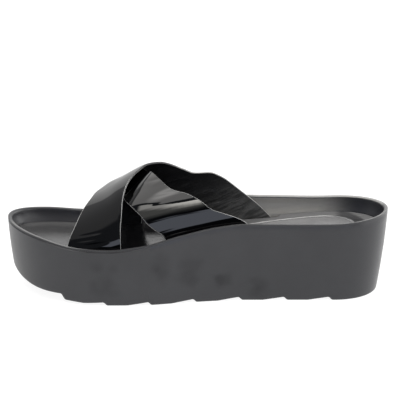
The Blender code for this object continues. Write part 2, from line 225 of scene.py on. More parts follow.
def ring_skin(rows, second_finish=()):
    """A skin through rows of points that each go once round the shoe, closed at both ends of the rows.

    The strips that start at the rows in second_finish take the piece's second material.
    """
    around, last = len(rows[0]), len(rows) - 1
    work = bmesh.new()
    bmesh.ops.create_grid(work, x_segments=around, y_segments=last, size=0.5)
    for face in work.faces:
        start = min(vert.co.y for vert in face.verts)
        face.material_index = int(round((start + 0.5) * last) in second_finish)
    for vert in work.verts:
        column, row = round((vert.co.x + 0.5) * around), round((vert.co.y + 0.5) * last)
        vert.co = rows[row][column % around]
    bmesh.ops.remove_doubles(work, verts=work.verts, dist=1e-6)
    bmesh.ops.dissolve_degenerate(work, edges=work.edges, dist=1e-7)
    bmesh.ops.recalc_face_normals(work, faces=work.faces)
    return work


def put_in_place(name, work, node, materials):
    """Makes a piece of a bmesh, which stands for a node of the solids and takes a slot's finish."""
    mesh = bpy.data.meshes.new(name)
    work.to_mesh(mesh)
    work.free()
    for material in materials:
        mesh.materials.append(material)
    mesh.shade_smooth()
    mesh.set_sharp_from_angle(angle=math.radians(SHARP_ANGLE))
    piece = bpy.data.objects.new(name, mesh)
    bpy.context.scene.collection.objects.link(piece)
    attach(piece, "root")
    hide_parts(node)


def lug_fronts():
    """Places of the lugs' front edges."""
    return [LUG_FIRST + k * LUG_PITCH for k in range(LUG_COUNT)]


def spring(t):
    """Height of the sole's underside without its lugs: the toe's spring, which runs out under the ball."""
    sprung = np.clip(1 - t / LUG_FIRST, 0, 1)
    run_out = np.clip((t - LUG_FIRST) / SPRING_RUN, 0, 1)
    toe = LUG_FIRST_STEP + (TOE_SPRING - LUG_FIRST_STEP) * sprung**TOE_CURL
    return toe * (1 - run_out**2 * (3 - 2 * run_out))


def side_inset(t, height, head):
    """How far inside the rim's outer edge the side wall stands at a height, below the height of its head."""
    foot = spring(t) + FLOOR_BEVEL
    up = (height - foot) / (head - foot)
    return taper(t) * (1 - up) * (1 - SIDE_SWELL * up)


def tread_height(t):
    """Height of the sole's underside: a sprung toe, then lugs with a steep front and a long slope behind."""
    bends, heights = [], []
    for front in lug_fronts():
        bends += [front, front + LUG_FRONT, front + LUG_FRONT + LUG_FLAT]
        heights += [LUG_RELIEF, 0, 0]
    heights[:3] = [LUG_FIRST_STEP, LUG_FIRST_LIFT, LUG_FIRST_LIFT / 2]
    return np.where(t < LUG_FIRST, spring(t), np.interp(t, bends, heights))


def soft_tread(t):
    """The underside's height with its edges rounded."""
    return np.mean([tread_height(t + slip) for slip in np.linspace(-LUG_SOFTNESS, LUG_SOFTNESS, 5)], 0)


def rib_groove(t):
    """Depth of the grooves between the fine ribs on the lugs' flats."""
    depth = np.zeros_like(t)
    for front in lug_fronts():
        start = front + LUG_FRONT + RIB_PITCH / 2
        inside = (t > start) & (t < start + LUG_FLAT - RIB_PITCH)
        wave = np.sin(math.pi * (t - start) / RIB_PITCH) ** 2
        depth = np.where(inside, RIB_DEPTH * np.clip(RIB_STEEPNESS * wave - RIB_CREST, 0, 1), depth)
    return depth


lug_rows = []
for front in lug_fronts():
    flat = front + LUG_FRONT
    lug_rows += [edge + step for edge in (front, flat) for step in (-LUG_EDGE_STEP, 0, LUG_EDGE_STEP)]
    lug_rows += list(np.arange(flat + 2 * LUG_EDGE_STEP, flat + LUG_FLAT, RIB_PITCH / RIB_STEPS))
t = stations(*SOLE_STEPS, lug_rows)
around = round_trip(t)
tread = soft_tread(around)
rim = section("rim", around) + np.where(on_inner_side(t), section("arch", around), 0)
wall_foot, wall_head = tread + FLOOR_BEVEL, rim - LIP_LINE_DROP - LIP_LINE_FOOT
foot_inset = side_inset(around, wall_foot, wall_head)
floor_edge = rim_loop(t, foot_inset + FLOOR_BEVEL, tread)
width = (floor_edge - np.roll(floor_edge[::-1], 1, 0))[:, 1]
bow = LUG_BOW * (width / BALL_WIDTH) ** 2

sole_rows = []
for share in TREAD_SHARES:
    row = drawn_in(floor_edge, share)
    row[:, 0] += bow * (1 - share**2)
    if share <= RIB_EDGE:
        row[:, 2] += rib_groove(around)
    sole_rows.append(row)
for turn in np.radians((30, 60, 90)):
    inset = foot_inset + FLOOR_BEVEL * (1 - math.sin(turn))
    sole_rows.append(rim_loop(t, inset, tread + FLOOR_BEVEL * (1 - math.cos(turn))))
for up in np.linspace(0, 1, SIDE_STEPS + 1)[1:]:
    height = wall_foot + (wall_head - wall_foot) * up
    sole_rows.append(rim_loop(t, side_inset(around, height, wall_head), height))
line_middle = rim - LIP_LINE_DROP
line_depth = np.interp(around, [TOE_ROUND, 2 * TOE_ROUND], [LIP_LINE_DEPTH, LIP_LINE_HEEL_DEPTH])
sole_rows.append(rim_loop(t, line_depth, line_middle - LIP_LINE_FLOOR))
sole_rows.append(rim_loop(t, line_depth, line_middle + LIP_LINE_FLOOR))
sole_rows.append(rim_loop(t, 0, line_middle + LIP_LINE_TOP))
for turn in np.radians((0, 30, 60, 90)):
    inset = LIP_OUTER_ROUND * (1 - math.cos(turn))
    sole_rows.append(rim_loop(t, inset, rim - LIP_OUTER_ROUND * (1 - math.sin(turn))))
for turn in np.radians((90, 60, 30, 0)):
    inset = LIP_WIDTH - LIP_INNER_ROUND * (1 - math.cos(turn))
    sole_rows.append(rim_loop(t, inset, rim - LIP_INNER_ROUND * (1 - math.sin(turn))))
cup_head, cup_foot = rim - LIP_INNER_ROUND, footbed_edge(around)
cup_wall_rows = range(len(sole_rows) - 1, len(sole_rows) + CUP_WALL_STEPS)
for down in np.linspace(0, 1, CUP_WALL_STEPS + 1)[1:]:
    inset = LIP_WIDTH + (cup_inset(around) - LIP_WIDTH) * down**WALL_HOLLOW
    sole_rows.append(rim_loop(t, inset, cup_head + (cup_foot - cup_head) * down))
cup_floor = rim_loop(t, cup_inset(around), cup_foot - CUP_DEPTH)
sole_rows += [drawn_in(cup_floor, share) for share in (1, 0.6, 0)]


def put(tree, kind, inputs=(), **settings):
    """A shader node with its settings, and its inputs set to values or linked to other nodes' outputs."""
    made = tree.nodes.new("ShaderNode" + kind)
    for name, value in settings.items():
        setattr(made, name, value)
    for name, value in dict(inputs).items():
        if isinstance(value, bpy.types.NodeSocket):
            tree.links.new(value, made.inputs[name])
        else:
            made.inputs[name].default_value = value
    return made


def calc(tree, operation, *values):
    """The result of a sum on values or nodes' outputs."""
    return put(tree, "Math", dict(enumerate(values)), operation=operation).outputs[0]


def ramp(tree, value, start, end, low=0.0, high=1.0):
    """A value brought smoothly from low at its start to high at its end."""
    limits = {"Value": value, "From Min": start, "From Max": end, "To Min": low, "To Max": high}
    return put(tree, "MapRange", limits, interpolation_type="SMOOTHSTEP").outputs["Result"]


def mixed(tree, share, first, second):
    """A colour between two colours."""
    mix = put(tree, "Mix", {"Factor": share}, data_type="RGBA")
    for name, colour in ((6, first), (7, second)):
        if isinstance(colour, bpy.types.NodeSocket):
            tree.links.new(colour, mix.inputs[name])
        else:
            mix.inputs[name].default_value = (*colour, 1)
    return mix.outputs[2]


def within(tree, *limits, inside=1.0):
    """A mask of where values are within soft limits, and inside another mask where there is one.

    Each limit is a value, with where the mask is out and where it is full.
    """
    mask = inside
    for value, edges in limits:
        mask = calc(tree, "MULTIPLY", mask, ramp(tree, value, *edges))
    return mask


def place_of(tree, spot):
    """A spot's distance from the toe tip, its place across the shoe and its height, in a material."""
    x, y, z = put(tree, "SeparateXYZ", {0: spot}).outputs
    return calc(tree, "SUBTRACT", x, TOE_TIP), y, z


def new_group(name, inputs, outputs):
    """An empty shader node group with named sockets."""
    group = bpy.data.node_groups.new(name, "ShaderNodeTree")
    for label, kind in inputs:
        group.interface.new_socket(label, in_out="INPUT", socket_type="NodeSocket" + kind)
    for label, kind in outputs:
        group.interface.new_socket(label, in_out="OUTPUT", socket_type="NodeSocket" + kind)
    return group, group.nodes.new("NodeGroupInput").outputs, group.nodes.new("NodeGroupOutput").inputs


# Pebbled grain of moulded foam and coated leather: rounded cells with a finer noise between them.
GRIT_FINENESS = 2.3  # grains of grit along a cell
GRIT_HEIGHT = 0.5  # share of a cell's height
pebble, given, result = new_group(
    "pebbled_grain", (("Place", "Vector"), ("Cell", "Float")), (("Height", "Float"),)
)
cells = calc(pebble, "DIVIDE", 1.0, given["Cell"])
lump = put(pebble, "TexVoronoi", {"Vector": given["Place"], "Scale": cells}, feature="SMOOTH_F1")
grains = calc(pebble, "MULTIPLY", cells, GRIT_FINENESS)
grit = put(pebble, "TexNoise", {"Vector": given["Place"], "Scale": grains, "Detail": 3.0})
grit_height = calc(pebble, "MULTIPLY", grit.outputs["Fac"], GRIT_HEIGHT)
pebble.links.new(calc(pebble, "SUBTRACT", grit_height, lump.outputs["Distance"]), result["Height"])

# Uneven tone of a handled surface: soft patches of another colour, with a mask for its gloss.
PATCH_FADE = (0.38, 0.68)  # values of the noise between which a patch comes in
uneven, given, result = new_group(
    "uneven_tone",
    (("Place", "Vector"), ("Tone", "Color"), ("Patch Tone", "Color"), ("Patch", "Float")),
    (("Colour", "Color"), ("Mask", "Float")),
)
often = calc(uneven, "DIVIDE", 1.0, given["Patch"])
cloud = put(uneven, "TexNoise", {"Vector": given["Place"], "Scale": often, "Detail": 5.0, "Roughness": 0.62})
mask = ramp(uneven, cloud.outputs["Fac"], *PATCH_FADE)
uneven.links.new(mixed(uneven, mask, given["Tone"], given["Patch Tone"]), result["Colour"])
uneven.links.new(mask, result["Mask"])


def pebbled_grain(tree, spot, cell):
    """Height of the pebbled grain in a material, for cells of this size."""
    return put(tree, "Group", {"Place": spot, "Cell": cell}, node_tree=pebble).outputs["Height"]


def uneven_tone(tree, spot, tone, patch_tone, patch):
    """Colour and mask of the uneven tone in a material, for patches of this size."""
    inputs = {"Place": spot, "Tone": tone, "Patch Tone": patch_tone, "Patch": patch}
    return put(tree, "Group", inputs, node_tree=uneven).outputs


def new_material(name, values):
    """A material with its tree, its Principled shader with some values set, and its object coordinates."""
    material = bpy.data.materials.new(name)
    material.use_nodes = True
    tree = material.node_tree
    shader = tree.nodes["Principled BSDF"]
    for label, value in values.items():
        shader.inputs[label].default_value = value
    return material, tree, shader, put(tree, "TexCoord").outputs["Object"]


def emboss(tree, shader, height, depth, strength):
    """Puts a bump on a shader: a height of 1 stands for a depth in metres."""
    bump = put(tree, "Bump", {"Height": height, "Distance": depth, "Strength": strength})
    tree.links.new(bump.outputs["Normal"], shader.inputs["Normal"])


FOAM_TONE = (0.0250, 0.0255, 0.0290, 1)
FOAM_PATCH_TONE = (0.0215, 0.0220, 0.0250, 1)
FOAM_PATCH = 0.045
FOAM_GLOSS = (0.29, 0.36)  # roughness off and on the patches
FOAM_CELL = 0.0007
FOAM_GRAIN = (0.00006, 0.5)  # depth and strength of the bump
# Darker handling marks on the outer wall.
# along: place from the toe tip. height: above the floor. radius: of the mark.
Smudge = namedtuple("Smudge", "along height radius")
SMUDGES = (
    Smudge(0.070, 0.018, 0.014),
    Smudge(0.105, 0.027, 0.014),
    Smudge(0.127, 0.021, 0.014),
    Smudge(0.145, 0.012, 0.011),
    Smudge(0.169, 0.005, 0.012),
)
SMUDGE_TONE = (0.005, 0.005, 0.007)
SMUDGE_STRENGTH = 0.75
SMUDGE_THINNEST = 0.7  # share of a mark's strength off the foam's patches
SMUDGE_GRAIN = 0.014  # size of the lumps that make the marks ragged
SMUDGE_STRAY = 0.005  # how far the lumps move a mark's edge
NOISE_RANGE = (0.3, 0.7)  # where most values of a noise lie
# Where the straps' ends pass, the top of the lip is painted dark, a painted shade beside the straps, and
# made duller.
LIP_SHADE_TONE = (0.012, 0.012, 0.014)
LIP_SHADE_START = (0.045, 0.062)
LIP_SHADE_END = (0.178, 0.165)
LIP_SHADE_FACING = (0.3, 0.7)  # upward part of the normal
SMUDGE_AND_SHADE_DULLING = 0.3  # added to the roughness of the marks and of the painted shade on the lip
# The lip's top takes a painted highlight, paler round the back of the inner side, and less so at the heel
# and the toe's outer side.
LIP_HIGHLIGHT_TONE = (0.30, 0.30, 0.29)
LIP_HIGHLIGHT_INNER = (0.160, 0.175)
LIP_HIGHLIGHT_INNER_FACING = (0.40, 0.65)
LIP_HIGHLIGHT_REAR = (0.232, 0.242)
LIP_HIGHLIGHT_TOE = (0.062, 0.045)
LIP_HIGHLIGHT_END_FACING = (0.80, 0.95)
LIP_HIGHLIGHT_END_SHARE = 0.35
SIDE_FADE = 0.01  # from the middle of the shoe, over which an effect on one side comes in

foam, tree, shader, spot = new_material("moulded_foam", {"Metallic": 0.0})
tone = uneven_tone(tree, spot, FOAM_TONE, FOAM_PATCH_TONE, FOAM_PATCH)
ragged = put(tree, "TexNoise", {"Vector": spot, "Scale": 1 / SMUDGE_GRAIN, "Detail": 1.0}).outputs["Fac"]
stray = ramp(tree, ragged, *NOISE_RANGE, -SMUDGE_STRAY, SMUDGE_STRAY)
smudged = 0.0
for smudge in SMUDGES:
    centre = (smudge.along + TOE_TIP, -float(section("lateral", smudge.along)), smudge.height)
    away = put(tree, "VectorMath", {0: spot, 1: centre}, operation="DISTANCE").outputs["Value"]
    away = calc(tree, "ADD", away, stray)
    smudged = calc(tree, "MAXIMUM", smudged, ramp(tree, away, 0, smudge.radius, SMUDGE_STRENGTH, 0))
smudged = calc(tree, "MULTIPLY", smudged, ramp(tree, tone["Mask"], 0, 1, SMUDGE_THINNEST, 1.0))
colour = mixed(tree, smudged, tone["Colour"], SMUDGE_TONE)
along, across, _ = place_of(tree, spot)
facing_up = put(tree, "SeparateXYZ", {0: put(tree, "NewGeometry").outputs["Normal"]}).outputs["Z"]
# painted shade on the lip's top beside the straps' ends
lip_shade = within(tree, (along, LIP_SHADE_START), (along, LIP_SHADE_END), (facing_up, LIP_SHADE_FACING))
colour = mixed(tree, lip_shade, colour, LIP_SHADE_TONE)
# painted highlight on the lip's upward-facing top
inner_lip = within(
    tree, (along, LIP_HIGHLIGHT_INNER), (across, (0, SIDE_FADE)), (facing_up, LIP_HIGHLIGHT_INNER_FACING)
)
toe_lip = within(tree, (along, LIP_HIGHLIGHT_TOE), (across, (0, -SIDE_FADE)))
end_lip = calc(tree, "MAXIMUM", toe_lip, ramp(tree, along, *LIP_HIGHLIGHT_REAR))
end_top = ramp(tree, facing_up, *LIP_HIGHLIGHT_END_FACING, 0, LIP_HIGHLIGHT_END_SHARE)
lip_highlight = calc(tree, "MAXIMUM", inner_lip, calc(tree, "MULTIPLY", end_lip, end_top))
tree.links.new(mixed(tree, lip_highlight, colour, LIP_HIGHLIGHT_TONE), shader.inputs["Base Color"])
gloss = ramp(tree, tone["Mask"], 0, 1, *FOAM_GLOSS)
dulled = calc(tree, "MULTIPLY", calc(tree, "MAXIMUM", lip_shade, smudged), SMUDGE_AND_SHADE_DULLING)
tree.links.new(calc(tree, "ADD", gloss, dulled), shader.inputs["Roughness"])
emboss(tree, shader, pebbled_grain(tree, spot, FOAM_CELL), *FOAM_GRAIN)

# The cup's wall has painted light: it is paler towards the heel, a painted reflection of the lights, and
# darker again round its back, a painted shade.
CUP_WALL_TONE = (0.022, 0.022, 0.026)
CUP_WALL_LIT_TONE = (0.170, 0.166, 0.155)
CUP_WALL_SHADED_TONE = (0.022, 0.023, 0.028)
CUP_WALL_LIGHTING = (0.100, 0.175)
CUP_WALL_SHADING = (0.212, 0.246)
CUP_WALL_PATCHINESS = 0.25
CUP_WALL_GLOSS = (0.32, 0.40)
cup_wall, tree, shader, spot = new_material("cup_wall", {"Metallic": 0.0})
along, *_ = place_of(tree, spot)
# painted reflection towards the heel, then painted shade round the back
wall_tone = mixed(tree, ramp(tree, along, *CUP_WALL_LIGHTING), CUP_WALL_TONE, CUP_WALL_LIT_TONE)
wall_tone = mixed(tree, ramp(tree, along, *CUP_WALL_SHADING), wall_tone, CUP_WALL_SHADED_TONE)
tone = uneven_tone(tree, spot, wall_tone, FOAM_TONE, FOAM_PATCH)
colour = mixed(tree, CUP_WALL_PATCHINESS, wall_tone, tone["Colour"])
tree.links.new(colour, shader.inputs["Base Color"])
tree.links.new(ramp(tree, tone["Mask"], 0, 1, *CUP_WALL_GLOSS), shader.inputs["Roughness"])
emboss(tree, shader, pebbled_grain(tree, spot, FOAM_CELL), *FOAM_GRAIN)

sole_skin = ring_skin(sole_rows, cup_wall_rows)
put_in_place("sole_moulding", sole_skin, "sole", [foam, cup_wall])

# Footbed
# A foam sheet covered in matt coated leather, laid in the cup of the sole. Its edge is turned up along the
# cup's wall and let in where the ends of the straps pass between it and the wall.

FOOTBED_THICKNESS = 0.004
FOOTBED_GAP = 0.0003
FOOTBED_ROLL = 0.0006  # rounding of its top edge
UPTURN = 0.0020
UPTURN_RUN = 0.0090
STRAP_THICKNESS = 0.0018
STRAP_ROOM = 0.0018  # spare room at each side of a strap's end
FOOTBED_STEPS = (40, 110, 26)
UPTURN_STEPS = 8
UPTURN_MARGIN = 0.001  # of flat bed inside the upturn, before its middle
BED_SHARES = (0.85, 0.7, 0.55, 0.4, 0.25, 0.1, 0)  # rows of the bed's middle
# Where the straps' ends pass: the side of the foot, and the first and last place along the shoe.
StrapEnd = namedtuple("StrapEnd", "side first last")
STRAP_ENDS = (
    StrapEnd("outer", 0.0435, 0.0810),
    StrapEnd("outer", 0.1140, 0.1800),
    StrapEnd("inner", 0.0500, 0.0910),
    StrapEnd("inner", 0.1130, 0.1860),
)

t = stations(*FOOTBED_STEPS)
around = round_trip(t)
side = np.where(on_inner_side(t), "inner", "outer")
let_in = np.zeros(len(around))
for end in STRAP_ENDS:
    edges = [end.first - 2 * STRAP_ROOM, end.first - STRAP_ROOM]
    edges += [end.last + STRAP_ROOM, end.last + 2 * STRAP_ROOM]
    passing = np.interp(around, edges, [0, 1, 1, 0])
    let_in = np.where(side == end.side, np.maximum(let_in, passing), let_in)
let_in *= STRAP_THICKNESS + 2 * FOOTBED_GAP


def bed_height(t, inside):
    """Height of the footbed's top at a distance inside the cup's wall, with its upturn."""
    return section("seat", t) + UPTURN * np.clip(1 - inside / UPTURN_RUN, 0, 1) ** 2


def footbed_loop(inset, drop=0.0):
    """A loop on the footbed's top, this far inside its edge, and lower by a drop."""
    loop = rim_loop(t, cup_inset(around) + FOOTBED_GAP + let_in + inset, 0)
    loop[:, 2] = bed_height(loop[:, 0] - TOE_TIP, inset + let_in) - drop
    return loop


bed_rows = [drawn_in(footbed_loop(FOOTBED_ROLL, FOOTBED_THICKNESS), share) for share in (0, 0.5, 1)]
bed_rows.append(footbed_loop(0, FOOTBED_THICKNESS - FOOTBED_ROLL))
for turn in np.radians((0, 30, 60, 90)):
    bed_rows.append(footbed_loop(FOOTBED_ROLL * (1 - math.cos(turn)), FOOTBED_ROLL * (1 - math.sin(turn))))
upturn_insets = np.linspace(FOOTBED_ROLL, UPTURN_RUN + UPTURN_MARGIN, UPTURN_STEPS + 1)[1:]
bed_rows += [footbed_loop(inset) for inset in upturn_insets]
middle_rows = [drawn_in(bed_rows[-1], share) for share in BED_SHARES]
for row in middle_rows:
    row[:, 2] = section("seat", row[:, 0] - TOE_TIP)
bed_rows += middle_rows

COVER_TONE = (0.009, 0.009, 0.010, 1)
COVER_PATCH_TONE = (0.011, 0.011, 0.012, 1)
COVER_PATCH = 0.03
COVER_GLOSS = (0.11, 0.14)
COVER_CELL = 0.0011
COVER_GRAIN = (0.0001, 0.6)
# The cover takes painted light: it is paler at the toe and the heel, where it lies open, and left dark under
# the straps, a painted shade. It is made duller where it is paler.
COVER_LIT_TONE = (0.112, 0.112, 0.113)
COVER_LIT_TOE = (0.084, 0.068)
COVER_LIT_TOE_SHARE = 0.36
COVER_LIT_HEEL = (0.125, 0.165)
COVER_LIT_DULLING = 0.22
# A darker arc lies round the back of the sock, as part of a ring with the shape of an ellipse.
DARK_ARC_CENTRE = 0.220
DARK_ARC_LENGTH = 0.0205
DARK_ARC_WIDTH = 0.0225
DARK_ARC_EDGE = (1.46, 1.34)  # times that length and width
DARK_ARC_START = (0.227, 0.234)
DARK_ARC_TONE = (0.026, 0.026, 0.028)


def distance(tree, first, second):
    """Distance from the origin of a point with two coordinates."""
    squares = [calc(tree, "MULTIPLY", value, value) for value in (first, second)]
    return calc(tree, "SQRT", calc(tree, "ADD", *squares))


cover, tree, shader, spot = new_material("footbed_cover", {"Metallic": 0.0})
tone = uneven_tone(tree, spot, COVER_TONE, COVER_PATCH_TONE, COVER_PATCH)
along, across, _ = place_of(tree, spot)
# painted light at the toe and heel; the dark tone between them, under the straps, is painted shade
lit_toe = ramp(tree, along, *COVER_LIT_TOE, 0, COVER_LIT_TOE_SHARE)
lit_share = calc(tree, "ADD", lit_toe, ramp(tree, along, *COVER_LIT_HEEL))
arc_x = calc(tree, "DIVIDE", calc(tree, "SUBTRACT", along, DARK_ARC_CENTRE), DARK_ARC_LENGTH)
arc_y = calc(tree, "DIVIDE", across, DARK_ARC_WIDTH)
arc = within(tree, (distance(tree, arc_x, arc_y), DARK_ARC_EDGE), (along, DARK_ARC_START))
colour = mixed(tree, lit_share, tone["Colour"], COVER_LIT_TONE)
tree.links.new(mixed(tree, arc, colour, DARK_ARC_TONE), shader.inputs["Base Color"])
gloss = ramp(tree, tone["Mask"], 0, 1, *COVER_GLOSS)
dulled = calc(tree, "MULTIPLY", lit_share, COVER_LIT_DULLING)
tree.links.new(calc(tree, "ADD", gloss, dulled), shader.inputs["Roughness"])
emboss(tree, shader, pebbled_grain(tree, spot, COVER_CELL), *COVER_GRAIN)

put_in_place("footbed", ring_skin(bed_rows), "insole", [cover])

# Heel sock
# A thin tongue-shaped patch of smooth satin sheet, stuck on the heel of the footbed. Its border is pressed
# down in a narrow paler line, and its face is bare.

SOCK_FRONT = 0.150
SOCK_WIDEST = 0.220
SOCK_REAR = 0.2405
SOCK_HALF_WIDTH = 0.0225
SOCK_TONGUE = 1.5  # exponent of the taper to its front
SOCK_GAP = 0.0003  # a film of glue under it
SOCK_UNDERCUT = 0.0004
SOCK_BORDER = 0.0015  # width of the pressed border
BORDER_REACH = 0.75  # share of that width, from the border's middle, that takes its finish
SOCK_STEPS = 90
SOCK_SHARES = (0.8, 0.6, 0.4, 0.2, 0)  # rows of its face
# Its profile, up the cut edge and over the pressed border to the face.
# inset: inside its outline. lift: above the footbed.
SockStep = namedtuple("SockStep", "inset lift")
SOCK_PROFILE = (
    SockStep(0.0000, 0.00045),
    SockStep(0.0000, 0.00070),
    SockStep(0.0002, 0.00095),
    SockStep(SOCK_BORDER, 0.00100),
    SockStep(0.0019, 0.00080),
    SockStep(0.0024, 0.00110),
)

swing = np.linspace(0, math.pi, SOCK_STEPS)
t = (SOCK_FRONT + SOCK_REAR - (SOCK_REAR - SOCK_FRONT) * np.cos(swing)) / 2
around = round_trip(t)
forward = np.clip((SOCK_WIDEST - around) / (SOCK_WIDEST - SOCK_FRONT), 0, 1)
back = np.clip((around - SOCK_WIDEST) / (SOCK_REAR - SOCK_WIDEST), 0, 1)
half_width = SOCK_HALF_WIDTH * np.sqrt((1 - forward**SOCK_TONGUE) * (1 - back**2))
side = np.where(on_inner_side(t), 1, -1)
sock_y = sum(outline(around)) / 2 + side * half_width


def sock_loop(inset, lift):
    """A loop on the sock, this far inside its edge and this high above the footbed."""
    loop = inset_loop(around + TOE_TIP, sock_y, inset, 0)
    edge = outline(loop[:, 0] - TOE_TIP)
    wall = cup_inset(loop[:, 0] - TOE_TIP) + FOOTBED_GAP
    nearest = np.minimum(loop[:, 1] - edge[0], edge[1] - loop[:, 1]) - wall
    loop[:, 2] = bed_height(loop[:, 0] - TOE_TIP, nearest) + lift
    return loop


sock_rows = [drawn_in(sock_loop(SOCK_UNDERCUT, SOCK_GAP), share) for share in (0, 0.5, 1)]
sock_rows += [sock_loop(step.inset, step.lift) for step in SOCK_PROFILE]
sock_rows += [drawn_in(sock_rows[-1], share) for share in SOCK_SHARES]

SOCK_TONE = (0.200, 0.200, 0.202, 1)
SOCK_PATCH_TONE = (0.160, 0.160, 0.162, 1)
SOCK_PATCH = 0.012
SOCK_GLOSS = (0.20, 0.26)
SOCK_CELL = 0.0006
SOCK_GRAIN = (0.00002, 0.3)
sock_face, tree, shader, spot = new_material("sock_face", {"Metallic": 0.0})
tone = uneven_tone(tree, spot, SOCK_TONE, SOCK_PATCH_TONE, SOCK_PATCH)
tree.links.new(tone["Colour"], shader.inputs["Base Color"])
tree.links.new(ramp(tree, tone["Mask"], 0, 1, *SOCK_GLOSS), shader.inputs["Roughness"])
emboss(tree, shader, pebbled_grain(tree, spot, SOCK_CELL), *SOCK_GRAIN)

BORDER_TONE = (0.50, 0.50, 0.49, 1)
BORDER_PATCH_TONE = (0.28, 0.28, 0.28, 1)
BORDER_PATCH = 0.006
BORDER_FADE = (0.220, 0.230)  # the line fades out round the rear
sock_border, tree, shader, spot = new_material("sock_border", {"Roughness": 0.4})
tone = uneven_tone(tree, spot, BORDER_TONE, BORDER_PATCH_TONE, BORDER_PATCH)
along, *_ = place_of(tree, spot)
faded = ramp(tree, along, *BORDER_FADE)
tree.links.new(mixed(tree, faded, tone["Colour"], SOCK_PATCH_TONE[:3]), shader.inputs["Base Color"])

sock_skin = ring_skin(sock_rows)
border_line = sock_loop(SOCK_BORDER / 2, 0)
for face in sock_skin.faces:
    centre = face.calc_center_median()
    near = np.hypot(border_line[:, 0] - centre.x, border_line[:, 1] - centre.y).min()
    face.material_index = int(near < SOCK_BORDER * BORDER_REACH)
put_in_place("sock_patch", sock_skin, "heel_sock", [sock_face, sock_border])

# Straps
# Two straps of black patent, a mirror-gloss coating on synthetic leather, with a thin matt lining and cut
# edges inked dark, which take a pale painted highlight below the crest. They cross over the forefoot, the
# front one on top, and their ends go down beside the footbed.

STRAP_BITE = 0.0001  # how deep the over strap presses into the under strap
STRAP_LIFT_RUN = 0.012  # over which the over strap comes back down beside the under strap
LAST_SQUARENESS = 2.25  # exponent of the last's cross-section, 2 being an ellipse
INSTEP_LEAN = 0.003
LAST_EASE = 0.008  # over which the last's curves are eased, so that reflections run on
CUT_EDGE_ROUND = 0.0004
STRAP_STEPS = 340  # along a strap
STRAP_STRIPS = 76  # across it
TWIST_PLACE = 0.115  # middle of the under strap's twist, along the shoe
TWIST_LENGTH = 0.020
TWIST_TURN = 32  # the same over the last, in degrees
TWIST_SPREAD = 20
TWIST_HEIGHT = 0.0013
TWIST_FADES = ((2, 14), (58, 44))  # turns over which it comes in and goes out
# The under strap folds down on its way under the over strap.
# The fold's line runs between two points, each a turn and a place along the shoe.
FOLD_LOW = (48.2, 0.0886)
FOLD_HIGH = (73.8, 0.1001)
FOLD_SLOPE = 0.28
FOLD_ROUND = 0.0003
FOLD_FADE = (105, 85)
# On the outer side the over strap leans: its rear edge stands further out than its front edge.
OVER_LEAN = 0.0014
OVER_LEAN_FADES = ((4, 16), (85, 55))
SLOPE_STEP = 0.0005  # over which slopes of the last are measured
WAVE_HEIGHT = 0.00002  # slow waves of the coating
WAVE_LENGTH = 0.014
WAVE_TURN = 0.04  # length of a radian of turn, for the waves
WAVE_LAYER = 0.3  # layer of the noise that they take
STREAK_HEIGHT = 0.000012  # fine ripples across the straps
STREAK_LENGTH = 0.22  # in ribs
STREAK_WIDTH = 0.9  # share of the strap's width
STREAK_LAYER = 0.7
EDGE_LAP = 1  # strips at the over strap's front edge where the cut edge, with its painted highlight, shows on the face
LINING_INSET = 0.0006  # how far the lining stands off the last, which thins the cut edges

# Ribs of each strap, from its end at the outer side to its end at the inner side.
# front, rear: places of the strap's two edges. front_turn, rear_turn: their turns over the last, in degrees.
Rib = namedtuple("Rib", "front front_turn rear rear_turn")
OVER_STRAP = (
    Rib(0.0435, 0, 0.0810, 0),
    Rib(0.0460, 25, 0.0810, 25),
    Rib(0.0500, 45, 0.0820, 40.5),
    Rib(0.0540, 65.5, 0.0838, 58),
    Rib(0.0590, 83, 0.0875, 76.5),
    Rib(0.0630, 96, 0.0955, 91),
    Rib(0.0700, 108, 0.1045, 106),
    Rib(0.0780, 123, 0.1110, 119),
    Rib(0.0850, 137, 0.1210, 132.5),
    Rib(0.0915, 148, 0.1300, 139.5),
    Rib(0.0970, 156, 0.1400, 140.5),
    Rib(0.1020, 163, 0.1475, 145),
    Rib(0.1070, 169, 0.1615, 158),
    Rib(0.1105, 174.5, 0.1725, 167.5),
    Rib(0.1130, 180, 0.1860, 180),
)
UNDER_STRAP = (
    Rib(0.1140, 0, 0.1800, 0),
    Rib(0.1088, 13.5, 0.1610, 15.7),
    Rib(0.1030, 19.5, 0.1490, 21),
    Rib(0.0980, 26, 0.1410, 25),
    Rib(0.0940, 33.5, 0.1330, 33),
    Rib(0.0895, 41.5, 0.1250, 40),
    Rib(0.0855, 50, 0.1140, 48),
    Rib(0.0820, 60, 0.1070, 61),
    Rib(0.0780, 80, 0.1000, 80),
    Rib(0.0740, 105, 0.0945, 102),
    Rib(0.0660, 130, 0.0935, 130),
    Rib(0.0570, 155, 0.0920, 155),
    Rib(0.0500, 180, 0.0910, 180),
)

